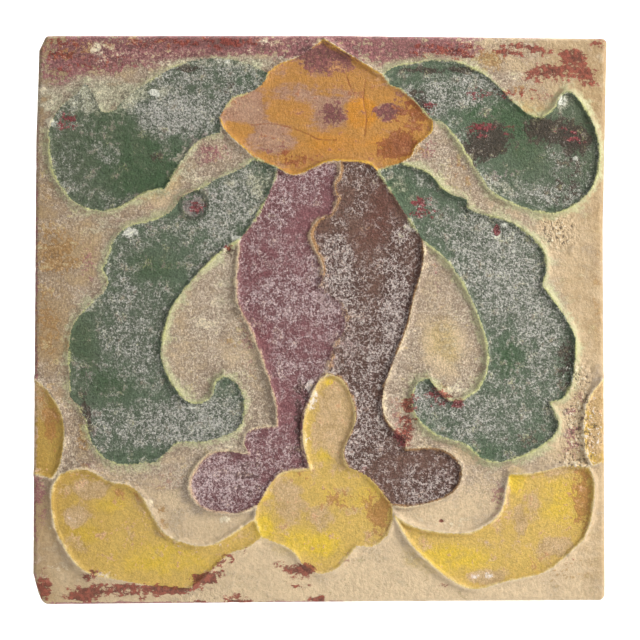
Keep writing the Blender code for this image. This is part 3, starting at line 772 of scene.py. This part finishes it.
for name, values in numbers.items():
    layer = thinned.attributes.new(name, "FLOAT", "POINT")
    layer.data.foreach_set("value", values.astype(np.float32))
print(f"{len(x)} vertices carry {', '.join(numbers)}")

# %% [markdown]
# The potter filled one pool after the other with a single glaze, and the raised lines held it in. So
# each triangle of the face takes the glaze of the pool that it lies in, and the cream ground has the
# rest. The walls and the back, below the worn arris, stay bare clay.

# %% Glaze of each triangle
GLAZED_DEPTH = 1.3
corner = np.empty(len(thinned.loops), np.int32)
thinned.loops.foreach_get("vertex_index", corner)
middle = np.stack([x, y, z], axis=-1)[corner.reshape(-1, 3)].mean(axis=1)
glazes = ["clay", "cream", "amber", "green", "mauve", "brown", "yellow"]
glaze_of_face = np.zeros(len(middle), np.int32)
front_face = middle[:, 1] < -(SLAB - GLAZED_DEPTH)
glaze_of_face[front_face] = glazes.index("cream")
for name, (colour, walk) in POOLS.items():
    held = front_face & inside(pool_outline(walk), middle[:, 0], middle[:, 2])
    glaze_of_face[held] = glazes.index(colour)
    print(f"{name}: {colour}, {held.sum()} triangles")

# %% [markdown]
# A material is built like the real surface, one layer over the other from the bottom up. Each layer has
# a colour and a share, and the share comes from a number on the mesh that noise breaks up. The noises
# are sized in millimetres of the tile, so the grain doesn't change with the camera.


# %% Layers of a material
def linear(hex_colour):
    """An sRGB hex colour as linear red, green, blue and an alpha of 1."""
    parts = [int(hex_colour[i : i + 2], 16) / 255 for i in (1, 3, 5)]
    return [p / 12.92 if p <= 0.04045 else ((p + 0.055) / 1.055) ** 2.4 for p in parts] + [1.0]


def feed(tree, socket, value):
    """Give an input its value: another node's socket is linked to it, and anything else is set."""
    if isinstance(value, bpy.types.NodeSocket):
        tree.links.new(value, socket)
    else:
        socket.default_value = value


def add(tree, kind, links=(), **settings):
    """Add a node: settings are its properties, links its inputs, each a value or another node's socket."""
    node = tree.nodes.new("ShaderNode" + kind)
    for name, value in settings.items():
        setattr(node, name, value)
    for name, value in dict(links).items():
        feed(tree, node.inputs[name], value)
    return node


class Recipe:
    """The layers of one material, built up from the bottom in real millimetres."""

    def __init__(self, name):
        self.material = bpy.data.materials.new(name)
        self.material.use_nodes = True
        self.tree = self.material.node_tree
        self.shader = self.tree.nodes["Principled BSDF"]
        self.place = add(self.tree, "TexCoord").outputs["Object"]

    def ramp(self, value, low, high, out_low=0.0, out_high=1.0):
        """The value's stretch from low to high, eased on to out_low to out_high."""
        links = {"Value": value, "From Min": low, "From Max": high, "To Min": out_low, "To Max": out_high}
        return add(self.tree, "MapRange", links, interpolation_type="SMOOTHSTEP").outputs["Result"]

    def noise(self, size, detail=3.0, rough=0.6, stretch=(1, 1, 1)):
        """Noise whose largest features are about that many millimetres across, spread from 0 to 1."""
        moved = add(self.tree, "Mapping", {"Vector": self.place, "Scale": stretch}).outputs[0]
        links = {"Vector": moved, "Scale": 1 / (size * MM), "Detail": detail, "Roughness": rough}
        return self.ramp(add(self.tree, "TexNoise", links).outputs["Fac"], 0.28, 0.72)

    def veins(self, size, width):
        """A net of fine lines, where such a noise passes through its middle value."""
        links = {"Vector": self.place, "Scale": 1 / (size * MM), "Detail": 4.0, "Roughness": 0.65}
        fac = add(self.tree, "TexNoise", links).outputs["Fac"]
        return self.ramp(self.math("ABSOLUTE", self.math("SUBTRACT", fac, 0.5)), 0.0, width, 1.0, 0.0)

    def attribute(self, name):
        """A number that the mesh carries at each vertex."""
        return add(self.tree, "Attribute", attribute_name=name).outputs["Fac"]

    def math(self, operation, a, b=0.0, c=0.0):
        """One step of arithmetic on sockets or numbers."""
        return add(self.tree, "Math", {0: a, 1: b, 2: c}, operation=operation).outputs[0]

    def total(self, *terms):
        """The sum of the terms, each a weight and a socket centred on 0.5, or a plain number."""
        result = 0.0
        for term in terms:
            if isinstance(term, tuple):
                weight, socket = term
                result = self.math("MULTIPLY_ADD", self.math("SUBTRACT", socket, 0.5), weight, result)
            else:
                result = self.math("ADD", term, result)
        return result

    def share(self, mark, breaks, low, high, most=1.0):
        """How much a layer covers: a mark, broken up by noise, eased from none at low to the most at high."""
        mark = self.attribute(mark) if isinstance(mark, str) else mark
        return self.ramp(self.total(mark, *breaks), low, high, 0.0, most)

    def mix(self, share, a, b):
        """Colour a with that share of colour b over it; a colour is a hex string or a socket."""
        node = add(self.tree, "Mix", data_type="RGBA")
        for number, value in ((0, share), (6, a), (7, b)):
            feed(self.tree, node.inputs[number], linear(value) if isinstance(value, str) else value)
        return node.outputs[2]

    def shade(self, colour, tone):
        """The colour, a hex string or a socket, made darker or lighter by a factor."""
        colour = linear(colour) if isinstance(colour, str) else colour
        return add(self.tree, "HueSaturation", {"Color": colour, "Value": tone}).outputs[0]

    def output(self, colour, rough, height, bump_mm):
        """Join colour, roughness and a bump of that depth to the shader."""
        links = {"Height": height, "Strength": 1.0, "Distance": bump_mm * MM}
        bump = add(self.tree, "Bump", links).outputs[0]
        for socket, value in (("Base Color", colour), ("Roughness", rough), ("Normal", bump)):
            feed(self.tree, self.shader.inputs[socket], value)
        return self.material


print(f"sRGB #808080 is {linear('#808080')[0]:.3f} in linear light")

# %% [markdown]
# Lead glazes are coloured with metal oxides: copper gives the greens, manganese the mauve and brown,
# iron the amber, antimony the yellow, and a little clay and tin the cream ground. Time has etched them
# and changed their tones, so each tone was judged where the tile shows it best.

# %% Tones
# deep, middle, film, dark film, stain and painted shadow, wash and painted rim shade, pale and painted
# highlight, crest, pooled glaze and painted shade, darker tone, and haze
PALETTES = {
    "cream": "#C2A868 #D8C09C #D2C2AE #94806E #A07A48 #8A5056 #E6DABE #DCC8A4 #A48B72 #A98C62 #AAA88E",
    "amber": "#D48C0E #C28A3E #B8957E #9A6E58 #8C4C22 #743F42 #DDBB76 #D8AC42 #B07A2C #A87848 #BC9C80",
    "green": "#3A5A35 #5A6C54 #BAB7B0 #5F6656 #3A2A20 #857A76 #D8D8CC #B7BC70 #39422F #566048 #AAA88E",
    "mauve": "#7E3E44 #8A585C #CCB8B8 #704648 #42211F #80525A #DCCEC8 #CDB08E #6A3A3A #7C5254 #A28C88",
    "brown": "#6C4336 #725244 #C8BCB6 #573A32 #46281F #82625E #D6CAC0 #A98050 #4C2E26 #6A4C40 #A28C88",
    "yellow": "#DEBD38 #D2B05C #D0B28E #B0905E #A4743A #BC9C80 #E4DCD4 #DCC68A #B8943C #B49040 #BC9C80",
}
# How much film a glaze has where nothing is marked, and how coarse that film has become
FILM = {
    "cream": (0.30, 0.9), "amber": (0.15, 0.55), "green": (0.45, 1.45),
    "mauve": (0.62, 1.25), "brown": (0.62, 1.6), "yellow": (0.27, 0.5),
}
# How the film sets in: spread from, spread to, least and most
FADE = {"yellow": (0.22, 0.82, 0.0, 0.85), "amber": (0.25, 0.75, 0.0, 0.92)}
DRAWN_OUT = {"cream": (0.55, 1, 1), "amber": (0.35, 1, 1)}
# the most of the dark foot colour, which is pooled glaze and painted shade
POOLED_AND_SHADED_SHARE = {"cream": 0.6, "yellow": 0.5}
BARE_CLAY = {"cream": "#9A4A3C", "yellow": "#8E4236"}
DARK_CLAY, DARK_PIT = "#4E2020", "#42362A"
GREEN_BLUSH, GREEN_CREST = "#B9BA90", "#BFC084"
print(f"tones: {len(PALETTES)} glazes with {len(PALETTES['cream'].split())} each")

# %% [markdown]
# The old glazes have a dull satin and a pale, grainy film, thickest where water stood. One recipe serves
# all six, since they weather alike: deep and middling glaze, then film, stain, wash and pale wear with
# painted shadow, shade and highlights among them, the thin glaze on the lines' crests, where it ran off
# while it was molten, and last bare clay, cracks and pits, and painted glints. The ground also has a
# green blush beside the green pools, whose copper crept over the lines.


# %% Glazes
def glaze(name):
    """Old lead glaze: clouded colour, grainy film, stains and bare red clay, paler along the crests, with
    painted shade, shadow and highlights.
    """
    deep, middle, film, film_dark, stain_and_shadow, wash, pale, crest, edge, darker_tone, haze = PALETTES[name].split()
    base_film, grit = FILM[name]
    r = Recipe(name + "_glaze")
    cloud = r.noise(11, detail=5)
    patch = r.noise(3.2, detail=6, rough=0.65, stretch=DRAWN_OUT.get(name, (1, 1, 1)))
    fray = r.noise(1.3, detail=4, rough=0.7)
    grain, speck = r.noise(0.62, detail=3, rough=0.75), r.noise(0.42, detail=2, rough=0.8)
    vein = r.veins(2.2, 0.05)
    if name == "cream":
        grain, speck, vein = (
            r.math("MULTIPLY_ADD", r.math("SUBTRACT", value, 0.5), r.attribute("granular"), 0.5)
            for value in (grain, speck, vein)
        )

    colour = r.mix(r.share("deep", [(0.5, cloud), (0.6, patch)], 0.1, 0.9), middle, deep)
    # darker towards the top and the left and near both side borders
    colour = r.mix(r.share("grime", [(0.5, patch)], 0.0, 1.0, 0.9), colour, darker_tone)
    ragged = min(0.45, 0.5 * grit)
    spread = r.total(r.attribute("clouded"), base_film, (0.6, cloud), (0.75, patch), (ragged, fray))
    spread = r.math("SUBTRACT", spread, r.math("MULTIPLY", r.attribute("deep"), 0.6))
    if name == "cream":
        near = r.math("MULTIPLY", r.attribute("near"), r.attribute("granular"))
        spread = r.total(r.math("MULTIPLY_ADD", near, 0.65, spread), (0.6, r.attribute("granular")), -0.15)
    film_share = r.total(0.5, (0.5 * grit, grain), (0.4 * grit, speck), (0.6 * grit, vein), (0.5, patch),
                         (0.3, r.attribute("clouded")))
    fade = FADE.get(name, (0.0, 1.0, 0.0, 0.92))
    colour = r.mix(r.ramp(spread, *fade), colour, r.mix(film_share, film_dark, film))

    # wash and stain; the washed lines along the rims paint shade, and some stained marks paint shadow
    for mark, tone, depth in (("washed", wash, 1.0), ("stained", stain_and_shadow, 0.4)):
        tone = r.shade(tone, r.total(1.0, (0.7 * depth, fray), (0.5 * depth, patch), (0.4 * depth, grain)))
        colour = r.mix(r.share(mark, [(0.9, patch), (0.9, fray)], 0.4, 0.72, 0.88), colour, tone)
    if name == "cream":
        near_green = r.math("MULTIPLY", r.attribute("beside_green"), r.attribute("fringe"))
        colour = r.mix(r.share(near_green, [(0.7, fray), (0.7, patch)], 0.15, 1.0, 0.8), colour, GREEN_BLUSH)
    # the dark foot: pooled glaze, and painted shade on each line's side away from the light
    colour = r.mix(r.share("edge", [(0.9, patch)], 0.3, 1.2, POOLED_AND_SHADED_SHARE.get(name, 0.8)), colour, edge)
    hazy_share = r.share("hazy", [(0.6, patch), (0.5, fray)], 0.1, 1.0, 0.75)
    haze = r.shade(haze, r.total(1.0, (0.5, grain), (0.4, speck), (0.5, patch)))
    colour = r.mix(hazy_share, colour, haze)
    # pale wear, with painted highlights on the bumps and on some crests
    colour = r.mix(r.share("pale", [(0.6, patch), (0.7, fray)], 0.45, 0.9, 0.9), colour, pale)
    crest_kept = r.math("MULTIPLY_ADD", hazy_share, -0.5, r.attribute("crest"))
    crest_share = r.share(crest_kept, [(1.1, patch), (0.5, grain)], 0.3, 1.1, 0.85)
    colour = r.mix(crest_share, colour, r.mix(r.attribute("beside_green"), crest, GREEN_CREST))

    streak = r.noise(2.0, detail=6, rough=0.72, stretch=(0.32, 1, 1))
    bare_share = r.share("bare", [(1.3, streak), (1.0, fray)], 0.5, 0.85, 0.9)
    bare_share = r.math("MULTIPLY", bare_share, r.ramp(r.attribute("bare"), 0.08, 0.4))
    clay = BARE_CLAY.get(name, "#924348")
    colour = r.mix(bare_share, colour, r.mix(r.total(0.5, (1.0, fray), (0.9, grain)), DARK_CLAY, clay))
    # dark cracks; on the grooves by the trefoil's lobe and in the right leaf's curl this is painted shadow
    colour = r.mix(r.share("cracked", [(0.6, fray)], 0.3, 1.0, 0.75), colour, stain_and_shadow)
    pit = r.noise(1.0, detail=2, rough=0.6)
    pitted = r.math("MULTIPLY", r.attribute("pitted"), r.math("SUBTRACT", pit, 0.5))
    pits = r.math("ABSOLUTE", r.math("MULTIPLY", pitted, 2.8))
    pits = r.math("MULTIPLY", pits, r.math("GREATER_THAN", pits, 0.75))
    colour = r.mix(r.math("MINIMUM", pits, 0.7), colour, r.mix(r.ramp(pit, 0.4, 0.6), DARK_PIT, pale))
    tone = r.total(1.0, (0.34 * grit, grain), (0.38 * grit, speck), (0.22, fray), (0.16, patch))
    glints = r.math("MULTIPLY", r.ramp(speck, 0.85, 1.0, 0.0, min(0.5 * grit, 0.7)), r.ramp(spread, 0.2, 0.8))
    colour = r.mix(glints, r.shade(colour, tone), pale)

    rough = r.math("MAXIMUM", r.ramp(spread, 0.0, 0.9, 0.42, 0.62), r.math("MULTIPLY", bare_share, 0.9))
    relief = r.math("MULTIPLY_ADD", pitted, 3.0, r.total(0.5, (0.8, grain), (0.5, speck), (1.0, fray)))
    # An etched glaze mirrors less than a fresh one, whose level would be 0.5
    r.shader.inputs["Specular IOR Level"].default_value = 0.4
    return r.output(colour, rough, relief, 0.05 + 0.10 * grit)


# %% [markdown]
# The clay body is common red earthenware, fired low, so it stays open and chalky. On the walls and the
# back it has gone brown with old dust, and thin smears of the lime mortar that held it are still there.


# %% Clay
def clay_body():
    """Matt red earthenware with dust and smears of old lime mortar."""
    r = Recipe("red_clay")
    cloud = r.noise(14, detail=5)
    patch = r.noise(4, detail=5, rough=0.7)
    grain = r.noise(0.7, detail=3, rough=0.7)
    colour = r.mix(cloud, "#8A503A", "#A46E50")
    lime = r.ramp(r.total(0.0, (0.8, cloud), (0.7, patch)), 0.15, 0.45, 0.0, 0.85)
    colour = r.mix(lime, colour, "#BDAF98")
    colour = r.shade(colour, r.total(1.0, (0.3, grain), (0.2, patch)))
    r.shader.inputs["Specular IOR Level"].default_value = 0.25
    return r.output(colour, 0.92, r.total(0.5, (1.0, grain), (1.0, patch)), 0.16)


thinned.materials.clear()
thinned.materials.append(clay_body())
for name in glazes[1:]:
    thinned.materials.append(glaze(name))
thinned.polygons.foreach_set("material_index", glaze_of_face)
thinned.update()
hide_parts("tile")
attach(tile, "root")
print(f"materials: {len(thinned.materials)}")

# %% [markdown]
# Behind and below the tile hangs a sweep of white card, a floor that curves up into a wall, as in a
# studio for catalogue pictures. It has no corner that could show as a line behind the tile.

# %% Backdrop
FLOOR = -320
WALL = 900
WALL_HEIGHT = 2400


def stage_material():
    """Matt white card."""
    material = bpy.data.materials.new("white_card")
    material.use_nodes = True
    shader = material.node_tree.nodes["Principled BSDF"]
    shader.inputs["Base Color"].default_value = linear("#F6F5F2")
    shader.inputs["Roughness"].default_value = 0.9
    return material


def sweep(half_width, near, bend):
    """Floor from y = near to the wall, a quarter circle of radius bend, then the wall, in mm."""
    angle = np.linspace(0, np.pi / 2, 25)
    y = np.concatenate([[near], WALL - bend + bend * np.sin(angle), [WALL]])
    z = np.concatenate([[FLOOR], FLOOR + bend * (1 - np.cos(angle)), [FLOOR + WALL_HEIGHT]])
    sides = [np.stack([np.full_like(y, x), y, z], axis=-1) for x in (-half_width, half_width)]
    n = len(y)
    quads = np.array([[k, n + k, n + k + 1, k + 1] for k in range(n - 1)])
    obj = mesh_object("sweep", np.vstack(sides), quads)
    obj.data.polygons.foreach_set("use_smooth", np.ones(n - 1, bool))
    obj.data.materials.append(stage_material())
    return obj


backdrop = sweep(2500, -2500, 350)
print(f"backdrop: {len(backdrop.data.polygons)} strips of card")

# %% [markdown]
# The photograph looks straight at the face. Its light comes softly from the right and a little from
# above, so each raised line has a bright right flank and a dark left one; a weak fill keeps the pools
# open, and a lamp of its own keeps the card white. A long lens gives the flat, nearly parallel view.

# %% Lights and camera
CAMERA_LENS = 110
SENSOR_WIDTH = 36
FRAME_SHARE = 575 / 640


def area_light(name, place_mm, aim_mm, size_mm, power, tint="#FFFFFF"):
    """A square soft light at a place, facing an aim."""
    data = bpy.data.lights.new(name, "AREA")
    data.size = size_mm * MM
    data.energy = power
    data.color = linear(tint)[:3]
    obj = bpy.data.objects.new(name, data)
    bpy.context.scene.collection.objects.link(obj)
    obj.location = np.array(place_mm) * MM
    obj.rotation_mode = "QUATERNION"
    away = mathutils.Vector(np.subtract(place_mm, aim_mm).astype(float))
    obj.rotation_quaternion = away.to_track_quat("Z", "Y")
    return obj


key = area_light("key", (540, -290, 250), (0, -20, 0), 240, 5.2, "#FFFCF8")
fill = area_light("fill", (-500, -700, 100), (0, -20, 0), 700, 0.8, "#F2F6FF")
wash = area_light("wash", (0, 300, 900), (0, WALL, 0), 700, 15.0)
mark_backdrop(backdrop, key, fill, wash)

world = bpy.data.worlds.new("studio")
bpy.context.scene.world = world
world.use_nodes = True
world.node_tree.nodes["Background"].inputs["Color"].default_value = (1, 1, 1, 1)
world.node_tree.nodes["Background"].inputs["Strength"].default_value = 0.29

camera_data = bpy.data.cameras.new("camera")
camera_data.lens = CAMERA_LENS
camera_data.sensor_width = SENSOR_WIDTH
camera = bpy.data.objects.new("camera", camera_data)
bpy.context.scene.collection.objects.link(camera)
away = CAMERA_LENS / SENSOR_WIDTH * WIDE / FRAME_SHARE
camera.location = (0, -(SLAB + away) * MM, 0)
camera.rotation_euler = (np.pi / 2, 0, 0)
bpy.context.scene.camera = camera
bpy.context.scene.view_settings.view_transform = "Standard"
print(f"stage: camera {away:.0f} mm from the face, three lights")
